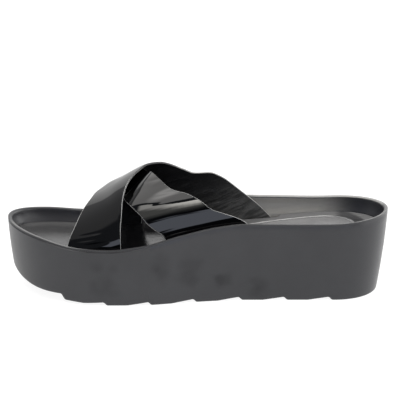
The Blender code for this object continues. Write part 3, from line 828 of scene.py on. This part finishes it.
# Creases, as soft ridges and troughs across a strap.
# rib: where it crosses the strap's middle, counted in ribs. slant: how far it runs on over the width.
# height: of the ridge, or below zero of the trough. spread: half its breadth, counted in ribs too.
# start, end: its reach across the strap.
Crease = namedtuple("Crease", "rib slant height spread start end")
OVER_CREASES = (
    Crease(0.62, 0.02, 0.00014, 0.06, 0.0, 0.8),
    Crease(0.74, -0.04, -0.00016, 0.06, 0.0, 0.9),
    Crease(0.87, 0.05, 0.00016, 0.07, 0.0, 0.9),
    Crease(1.00, 0.08, -0.00016, 0.07, 0.0, 0.8),
    Crease(1.14, 0.02, 0.00014, 0.07, 0.1, 0.9),
    Crease(1.28, 0.05, -0.00014, 0.08, 0.0, 0.7),
    Crease(5.3, 0.0, 0.0009, 1.10, -0.6, 0.55),
    Crease(7.3, 0.0, -0.0009, 1.20, 0.1, 1.0),
    Crease(9.2, 0.5, -0.0003, 0.20, 0.2, 0.9),
    Crease(10.3, -0.4, 0.0003, 0.22, 0.1, 0.8),
    Crease(11.6, 0.6, -0.00035, 0.18, 0.2, 1.0),
    Crease(12.5, -0.3, 0.00025, 0.15, 0.3, 1.0),
)
UNDER_CREASES = (
    Crease(5.6, 0.3, -0.00014, 0.25, 0.4, 1.1),
    Crease(6.7, 0.2, 0.00030, 0.14, 0.6, 1.2),
    Crease(7.2, -0.2, -0.00030, 0.12, 0.6, 1.2),
)


def bare_last(t, turn):
    """A point of the last, turning from the outer side to the inner side."""
    inset = cup_inset(t) + FOOTBED_GAP + STRAP_THICKNESS
    before, at, after = outline(t - SLOPE_STEP), outline(t), outline(t + SLOPE_STEP)
    lateral = at[0] + inset * np.hypot(1, (after[0] - before[0]) / (2 * SLOPE_STEP))
    medial = at[1] - inset * np.hypot(1, (after[1] - before[1]) / (2 * SLOPE_STEP))
    power = 2 / LAST_SQUARENESS
    across = np.sign(np.cos(turn)) * np.abs(np.cos(turn)) ** power
    up = np.abs(np.sin(turn)) ** power
    foot = footbed_edge(t) - FOOTBED_THICKNESS
    y = (lateral + medial) / 2 - (medial - lateral) / 2 * across + INSTEP_LEAN * up**2
    return np.stack(np.broadcast_arrays(t + TOE_TIP, y, foot + (section("crest", t) - foot) * up), -1)


def last_point(t, turn):
    """A point of the eased last, which the straps' inner faces follow."""
    return np.mean([bare_last(t + slip, turn) for slip in np.linspace(-LAST_EASE, LAST_EASE, 5)], 0)


def last_normal(t, turn):
    """Outward normal of the last."""
    along = last_point(t + SLOPE_STEP, turn) - last_point(t - SLOPE_STEP, turn)
    ahead, behind = np.minimum(turn + SLOPE_STEP, math.pi), np.maximum(turn - SLOPE_STEP, 0)
    normal = np.cross(along, last_point(t, ahead) - last_point(t, behind))
    return normal / np.linalg.norm(normal, axis=-1, keepdims=True)


def rib_column(ribs, column, row):
    """A column of a strap's ribs, at a row counted in ribs."""
    return flowing(np.arange(len(ribs)), np.array([getattr(rib, column) for rib in ribs]), row)


def edge_place(ribs, edge, turned):
    """Place along the shoe of a strap's front or rear edge, at a turn over the last in degrees."""
    turns = np.array([getattr(rib, edge + "_turn") for rib in ribs])
    places = np.array([getattr(rib, edge) for rib in ribs])
    return flowing(turns, places, turned)


def eased(value, start, end):
    """A smooth step from 0 at the start to 1 at the end."""
    share = np.clip((value - start) / (end - start), 0, 1)
    return share**2 * (3 - 2 * share)


def lift_over(t, turn):
    """How far the over strap stands off the last.

    It lies on the under strap, comes down beside it, and leans.
    """
    turned = np.degrees(turn)
    before = edge_place(UNDER_STRAP, "front", turned) - t
    behind = t - edge_place(UNDER_STRAP, "rear", turned)
    carried = (STRAP_THICKNESS - STRAP_BITE) * eased(np.maximum(before, behind), STRAP_LIFT_RUN, 0)
    front, rear = edge_place(OVER_STRAP, "front", turned), edge_place(OVER_STRAP, "rear", turned)
    lean = OVER_LEAN * ((t - front) / (rear - front) - 0.5)
    for fade in OVER_LEAN_FADES:
        lean = lean * eased(turned, *fade)
    return carried + lean


def lean_under(t, turn):
    """The under strap's outer leg is twisted, with its upper edge out near the crossing and in to the rear.

    Beside the over strap it folds down along a line, to go under it.
    """
    turned = np.degrees(turn)
    twist = np.tanh((t - TWIST_PLACE) / TWIST_LENGTH) * np.tanh((turned - TWIST_TURN) / TWIST_SPREAD)
    for fade in TWIST_FADES:
        twist = twist * eased(turned, *fade)
    run = (FOLD_HIGH[1] - FOLD_LOW[1]) / (FOLD_HIGH[0] - FOLD_LOW[0])
    past = FOLD_LOW[1] + run * (turned - FOLD_LOW[0]) - t
    folded = (past + np.sqrt(past**2 + FOLD_ROUND**2)) / 2
    return -TWIST_HEIGHT * twist - FOLD_SLOPE * folded * eased(turned, *FOLD_FADE)


def crease_height(creases, row, share):
    """Height of a strap's creases at a row counted in ribs and a share of the way across."""
    height = np.zeros_like(row)
    for crease in creases:
        off = (row - crease.rib - crease.slant * (share - 0.5)) / crease.spread
        middle, reach = (crease.start + crease.end) / 2, (crease.end - crease.start) / 2
        window = np.clip(1 - ((share - middle) / reach) ** 2, 0, 1) ** 2
        height = height + crease.height * np.exp(-(off**2)) * window
    return height


COATED, LINED, CUT = range(3)  # the straps' finishes, in the order of their materials


def strap_face(work, ribs, lift, creases, height, finish, lap=0):
    """One face of a strap: a grid laid on the last, standing off it by a height, with its creases."""
    verts = bmesh.ops.create_grid(work, x_segments=STRAP_STRIPS, y_segments=STRAP_STEPS, size=0.5)["verts"]
    grid = np.array([vert.co for vert in verts])
    row = (grid[:, 1] + 0.5) * (len(ribs) - 1)
    share = grid[:, 0] + 0.5
    front, rear = rib_column(ribs, "front", row), rib_column(ribs, "rear", row)
    front_turn, rear_turn = rib_column(ribs, "front_turn", row), rib_column(ribs, "rear_turn", row)
    t = front + (rear - front) * share
    turn = np.radians(front_turn + (rear_turn - front_turn) * share)
    wave_spots = [Vector((place, angle * WAVE_TURN, WAVE_LAYER)) for place, angle in zip(t, turn)]
    wave = np.array([noise.noise(spot / WAVE_LENGTH) for spot in wave_spots])
    streak_spots = [(r / STREAK_LENGTH, s / STREAK_WIDTH, STREAK_LAYER) for r, s in zip(row, share)]
    streak = np.array([noise.noise(Vector(spot)) for spot in streak_spots])
    off = height + lift(t, turn) + crease_height(creases, row, share)
    off = off + WAVE_HEIGHT * wave + STREAK_HEIGHT * streak
    points = last_point(t, turn) + off[:, None] * last_normal(t, turn)
    for face in {face for vert in verts for face in vert.link_faces}:
        strip = (min(vert.co.x for vert in face.verts) + 0.5) * STRAP_STRIPS
        face.material_index = CUT if strip < lap - 0.5 else finish
    for vert, point in zip(verts, points):
        vert.co = point
    return verts


def strap_mesh(ribs, lift, creases, lap=0):
    """A strap with its coated face, its lining and the cut edge between them."""
    work = bmesh.new()
    strap_face(work, ribs, lift, creases, STRAP_THICKNESS, COATED, lap)
    lining = strap_face(work, ribs, lift, creases, LINING_INSET, LINED)
    bmesh.ops.reverse_faces(work, faces=list({face for vert in lining for face in vert.link_faces}))
    border = [edge for edge in work.edges if edge.is_boundary]
    cut = bmesh.ops.bridge_loops(work, edges=border)["faces"]
    for face in cut:
        face.material_index = CUT
    bmesh.ops.recalc_face_normals(work, faces=work.faces)
    sides = set(cut)
    rims = [edge for edge in work.edges if len(sides.intersection(edge.link_faces)) == 1]
    bmesh.ops.bevel(
        work,
        geom=rims,
        offset=CUT_EDGE_ROUND,
        segments=2,
        profile=0.5,
        affect="EDGES",
        material=CUT,
        clamp_overlap=True,
    )
    return work


PATENT_TONE = (0.0012, 0.0012, 0.0014, 1)
PATENT_PATCH_TONE = (0.0009, 0.0009, 0.0011, 1)
PATENT_PATCH = 0.01
PATENT_GLOSS = (0.14, 0.24)
patent, tree, shader, spot = new_material(
    "patent", {"Specular IOR Level": 0.0, "Coat Weight": 1.0, "Coat Roughness": 0.006}
)
tone = uneven_tone(tree, spot, PATENT_TONE, PATENT_PATCH_TONE, PATENT_PATCH)
tree.links.new(tone["Colour"], shader.inputs["Base Color"])
tree.links.new(ramp(tree, tone["Mask"], 0, 1, *PATENT_GLOSS), shader.inputs["Roughness"])

LINING_TONE = (0.004, 0.004, 0.005)
LINING_LIT_TONE = (0.070, 0.070, 0.068)
LINING_LIGHTING = (0.062, 0.125)  # a place less its height: painted light, paler low at the rear by the opening
LINING_WRINKLE = (0.014, 0.014, 0.0017)  # length, length and spacing of the wrinkles
LINING_SLANT = math.radians(-28)
LINING_SHADE = 0.65  # share of the dark tone in the wrinkles' troughs, a painted shade
LINING_TROUGH = (0.40, 0.58)  # heights of the wrinkles between which that tone goes
LINING_BUMP = (0.0010, 0.8)
lining, tree, shader, spot = new_material("lining", {"Roughness": 0.45})
laid = {"Vector": spot, "Scale": LINING_WRINKLE, "Rotation": (0, LINING_SLANT, 0)}
stretched = put(tree, "Mapping", laid, vector_type="TEXTURE").outputs["Vector"]
wrinkled = {"Vector": stretched, "Scale": 1.0, "Detail": 4.0, "Roughness": 0.6}
wrinkle = put(tree, "TexNoise", wrinkled).outputs["Fac"]
along, _, high = place_of(tree, spot)
# painted light on the lining near the rear opening
lit_share = ramp(tree, calc(tree, "SUBTRACT", along, high), *LINING_LIGHTING)
lining_tone = mixed(tree, lit_share, LINING_TONE, LINING_LIT_TONE)
# painted shade in the wrinkles' troughs
trough_shade_tone = mixed(tree, LINING_SHADE, lining_tone, LINING_TONE)
colour = mixed(tree, ramp(tree, wrinkle, *LINING_TROUGH), trough_shade_tone, lining_tone)
tree.links.new(colour, shader.inputs["Base Color"])
emboss(tree, shader, wrinkle, *LINING_BUMP)

EDGE_HIGHLIGHT_TONE = (0.35, 0.35, 0.34, 1)
EDGE_HIGHLIGHT_PATCH_TONE = (0.24, 0.24, 0.24, 1)
EDGE_PATCH = 0.003
EDGE_CREST_TONE = (0.012, 0.012, 0.013)
EDGE_HIGHLIGHT_RISE = (0.084, 0.074)  # heights over which the cut edges, inked dark on the crest, take a pale painted highlight
cut_edge, tree, shader, spot = new_material("cut_edge", {"Roughness": 0.4})
tone = uneven_tone(tree, spot, EDGE_HIGHLIGHT_TONE, EDGE_HIGHLIGHT_PATCH_TONE, EDGE_PATCH)
*_, high = place_of(tree, spot)
# painted highlight on the cut edges below the crest
edge_highlight = ramp(tree, high, *EDGE_HIGHLIGHT_RISE)
tree.links.new(mixed(tree, edge_highlight, EDGE_CREST_TONE, tone["Colour"]), shader.inputs["Base Color"])

finishes = [patent, lining, cut_edge]
under = strap_mesh(UNDER_STRAP, lean_under, UNDER_CREASES)
put_in_place("under_strap", under, "upper", finishes)
over = strap_mesh(OVER_STRAP, lift_over, OVER_CREASES, EDGE_LAP)
put_in_place("over_strap", over, "upper", finishes)

# Studio
# A plain pale floor, and soft light: a panel with a lamp in the ceiling, a strip light with a halo in front
# of it, a white wall behind, and a bright side by the heel. The front is dark, with one low bright band.

FLOOR_SIZE = 8.0
FLOOR_TONE = (0.18, 0.18, 0.18, 1)
FLOOR_GLOW = 0.91  # keeps the shadows on the floor faint
floor_mesh = bmesh.new()
bmesh.ops.create_grid(floor_mesh, x_segments=8, y_segments=8, size=FLOOR_SIZE / 2)
mesh = bpy.data.meshes.new("studio_floor")
floor_mesh.to_mesh(mesh)
floor_mesh.free()
floor_values = {"Base Color": FLOOR_TONE, "Roughness": 0.9}
floor_values.update({"Emission Color": (1, 1, 1, 1), "Emission Strength": FLOOR_GLOW})
floor_paint, *_ = new_material("floor_paint", floor_values)
mesh.materials.append(floor_paint)
floor = bpy.data.objects.new("studio_floor", mesh)
bpy.context.scene.collection.objects.link(floor)

BACKDROP = (1, 1, 1)
WALL_LIGHT = (1.0, 1.0, 1.0)
SIDE_LIGHT = (2.8, 2.8, 2.8)
CEILING_LIGHT = (0.48, 0.48, 0.49)
FRONT_LIGHT = (0.13, 0.14, 0.16)
FRONT_LOW_LIGHT = (0.010, 0.013, 0.018)
PANEL_LIGHT = (2.5, 2.46, 2.42)
LAMP_LIGHT = (5.6, 5.5, 5.4)
STRIP_LIGHT = (12.0, 11.7, 11.0)
STRIP_END_LIGHT = (4.7, 4.6, 4.4)
HALO_LIGHT = (1.05, 1.05, 1.0)
BAND_LIGHT = (1.45, 1.55, 1.8)
# Soft edges of the lights, each from where it is out to where it is full.
# The first ones are parts of a direction from the shoe.
BACK_Y = (-0.5, 0.0)
ABOVE_Z = (0.05, 0.08)
SIDE_X = (0.45, 0.75)
SIDE_Y = (-0.75, -0.35)
SIDE_Z = (0.51, 0.47)
WALL_FOOT_Z = (0.10, 0.05)
FRONT_SLANT = -0.4
FRONT_RISE = (0.33, 0.50)
BAND_FOOT_SLANT = 0.22
BAND_FOOT = (0.12, 0.14)
BAND_END_SLANT = 2.0
BAND_END = (-0.31, -0.285)
BAND_HEAD_SLANT = 0.065
BAND_HEAD = (0.335, 0.315)
BAND_X = (-0.34, -0.31)
BAND_Y = (-0.80, -0.86)
# The others are places on the ceiling, for a ceiling one unit above the shoe.
CEILING_FRONT = (-0.62, -0.40)
WALL_BEND = -0.84  # towards the toe from here, the wall's edge slants
WALL_SLANT = 0.8
WALL_EDGE = (1.37, 1.41)
PANEL_TOE_END = (-0.63, -0.60)
PANEL_HEEL_END = (0.50, 0.40)
PANEL_FRONT = (-1.12, -1.08)
PANEL_BACK = (1.2, 1.1)
LAMP_PLACE = (-0.03, -0.66)
LAMP_REACH = 0.38
STRIP_TOE_END = (-0.50, -0.40)
STRIP_HEEL_END = (0.75, 0.55)
STRIP_BACK = (-1.19, -1.21)
STRIP_SLANT = 0.95
STRIP_FRONT = (-1.58, -1.26)
STRIP_BRIGHTENING = (0.08, 0.40)
HALO_HEEL_END = (0.85, 0.65)
HALO_SLANT = 0.4
HALO_FRONT = (-2.40, -1.70)

world = bpy.data.worlds.new("studio")
bpy.context.scene.world = world
world.use_nodes = True
tree = world.node_tree
tree.nodes.clear()
direction = put(tree, "TexCoord").outputs["Generated"]
x, y, z = put(tree, "SeparateXYZ", {0: direction}).outputs
height = calc(tree, "MAXIMUM", z, 0.02)
ceiling_x = calc(tree, "DIVIDE", x, height)
ceiling_y = calc(tree, "DIVIDE", y, height)


def slanted(first, share, second):
    """A value that is constant along a slanting line: a share of the first and all of the second."""
    return calc(tree, "ADD", calc(tree, "MULTIPLY", first, share), second)


diagonal = slanted(ceiling_x, 1.0, ceiling_y)
side = within(tree, (x, SIDE_X), (y, SIDE_Y), (z, SIDE_Z))
past_bend = calc(tree, "MINIMUM", calc(tree, "SUBTRACT", ceiling_x, WALL_BEND), 0.0)
wall = ramp(tree, slanted(past_bend, WALL_SLANT, ceiling_y), *WALL_EDGE)
wall = within(tree, (y, BACK_Y), inside=calc(tree, "MAXIMUM", wall, ramp(tree, z, *WALL_FOOT_Z)))
panel = within(
    tree,
    (ceiling_x, PANEL_TOE_END),
    (ceiling_x, PANEL_HEEL_END),
    (diagonal, PANEL_FRONT),
    (ceiling_y, PANEL_BACK),
    (z, ABOVE_Z),
)
lamp_x = calc(tree, "SUBTRACT", ceiling_x, LAMP_PLACE[0])
lamp_y = calc(tree, "SUBTRACT", ceiling_y, LAMP_PLACE[1])
lamp = within(tree, (distance(tree, lamp_x, lamp_y), (LAMP_REACH, 0.0)), inside=panel)
strip_start = within(tree, (diagonal, STRIP_BACK), (ceiling_x, STRIP_TOE_END), (z, ABOVE_Z))
strip_front = slanted(ceiling_x, STRIP_SLANT, ceiling_y)
strip = within(tree, (strip_front, STRIP_FRONT), (ceiling_x, STRIP_HEEL_END), inside=strip_start)
halo_front = slanted(ceiling_x, HALO_SLANT, ceiling_y)
halo = within(tree, (halo_front, HALO_FRONT), (ceiling_x, HALO_HEEL_END), inside=strip_start)
band = within(
    tree,
    (slanted(x, BAND_FOOT_SLANT, z), BAND_FOOT),
    (slanted(x, BAND_END_SLANT, z), BAND_END),
    (slanted(x, BAND_HEAD_SLANT, z), BAND_HEAD),
    (y, BAND_Y),
    (x, BAND_X),
)
rising = slanted(calc(tree, "MINIMUM", x, 0.0), FRONT_SLANT, z)
light = mixed(tree, ramp(tree, rising, *FRONT_RISE), FRONT_LOW_LIGHT, FRONT_LIGHT)
light = mixed(tree, ramp(tree, ceiling_y, *CEILING_FRONT), light, CEILING_LIGHT)
strip_light = mixed(tree, ramp(tree, ceiling_x, *STRIP_BRIGHTENING), STRIP_END_LIGHT, STRIP_LIGHT)
for mask, lit in (
    (wall, WALL_LIGHT),
    (side, SIDE_LIGHT),
    (panel, PANEL_LIGHT),
    (lamp, LAMP_LIGHT),
    (halo, HALO_LIGHT),
    (strip, strip_light),
    (band, BAND_LIGHT),
):
    light = mixed(tree, mask, light, lit)
seen = put(tree, "LightPath").outputs["Is Camera Ray"]
background = put(tree, "Background", {"Color": mixed(tree, seen, light, BACKDROP)})
put(tree, "OutputWorld", {"Surface": background.outputs["Background"]})

# Camera
# At the photograph's angle: level with the shoe's length, from its outer side and a little above.

CAMERA_DISTANCE = 0.9
CAMERA_ELEVATION = math.radians(15.9)
CAMERA_AIM = Vector((0.0023, 0.0, 0.0609))
PIXELS_PER_RADIAN = 1312.06
PICTURE_WIDTH = 400

camera = bpy.data.cameras.new("camera")
camera.sensor_width = 36
camera.lens = PIXELS_PER_RADIAN / PICTURE_WIDTH * camera.sensor_width
viewer = bpy.data.objects.new("camera", camera)
away = Vector((0, -math.cos(CAMERA_ELEVATION), math.sin(CAMERA_ELEVATION)))
viewer.location = CAMERA_AIM + CAMERA_DISTANCE * away
viewer.rotation_euler = (math.pi / 2 - CAMERA_ELEVATION, 0, 0)
bpy.context.scene.collection.objects.link(viewer)
bpy.context.scene.camera = viewer
bpy.context.scene.view_settings.view_transform = "Standard"
